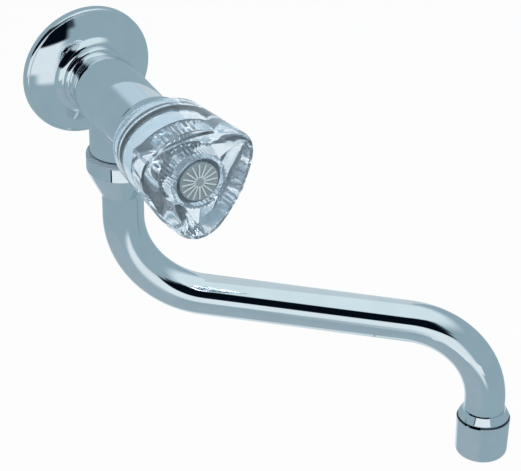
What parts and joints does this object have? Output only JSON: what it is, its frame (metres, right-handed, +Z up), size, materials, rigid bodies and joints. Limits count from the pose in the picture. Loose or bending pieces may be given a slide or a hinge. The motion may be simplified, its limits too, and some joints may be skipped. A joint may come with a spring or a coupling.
{
  "type": "wall-mounted swivel basin tap",
  "caption": "Chromed wall-mounted pillar tap for one pipe, with a clear lobed screw knob and a swivelling S-shaped spout that ends in an aerator.",
  "frame": {"origin": "on the inlet axis in the plane of the finished wall, which the flange's rim touches", "axes": "+Z up, -Y out of the wall along the barrel towards the knob, +X to the right as seen from in front of the tap"},
  "size_m": [0.1746, 0.1476, 0.1969],
  "materials": {
    "flange_chrome": "polished plating",
    "body_chrome": "polished plating",
    "shroud_chrome": "polished plating",
    "nut_chrome": "polished plating",
    "tube_chrome": "polished plating",
    "shell_chrome": "polished plating",
    "turned_brass": "as turned",
    "plain_steel": "plain stainless",
    "screen_steel": "woven wire",
    "black_rubber": "matt",
    "gasket_fibre": "pressed fibre",
    "slip_plastic": "smooth",
    "knob_clear": "clear, polished",
    "insert_bright": "bright plating",
    "cap_grey": "silvery",
    "aerator_white": "moulded",
    "grid_white": "moulded"
  },
  "bodies": {
    "tap": {"tap_body": "body_chrome", "wall_flange": "flange_chrome", "headwork_body": "turned_brass", "headwork_gasket": "gasket_fibre", "headwork_shroud": "shroud_chrome", "swivel_nut": "nut_chrome"},
    "handle": {"knob": "knob_clear", "knob_insert": "insert_bright", "index_cap": "cap_grey", "knob_screw": "plain_steel", "spindle": "turned_brass", "spindle_o_rings": "black_rubber", "spindle_washer": "plain_steel", "spindle_clip": "plain_steel"},
    "plunger": {"valve_plunger": "turned_brass", "valve_washer": "black_rubber", "washer_screw": "plain_steel"},
    "spout": {"spout_tube": "tube_chrome", "spout_collar": "turned_brass", "spout_o_rings": "black_rubber", "spout_thrust_ring": "slip_plastic", "spout_slip_washer": "slip_plastic", "aerator_adapter": "tube_chrome", "aerator_shell": "shell_chrome", "aerator_washer": "black_rubber", "aerator_body": "aerator_white", "aerator_screens": "screen_steel", "flow_straightener": "grid_white"}
  },
  "joints": [
    {"name": "knob_turn", "type": "hinge", "parent": "tap", "child": "handle", "pos_m": [0, 0, 0], "axis": [0, -1, 0], "range_deg": [0, 900]},
    {"name": "valve_lift", "type": "slide", "parent": "tap", "child": "plunger", "axis": [0, -1, 0], "range_m": [0, 0.00375]},
    {"name": "spout_swivel", "type": "hinge", "parent": "tap", "child": "spout", "pos_m": [0, -0.036, 0], "axis": [0, 0, 1], "range_deg": [-152.6, 37.3]}
  ],
  "couplings": [
    {"joint": "valve_lift", "follows": "knob_turn", "m_per_rad": 0.0002387}
  ]
}
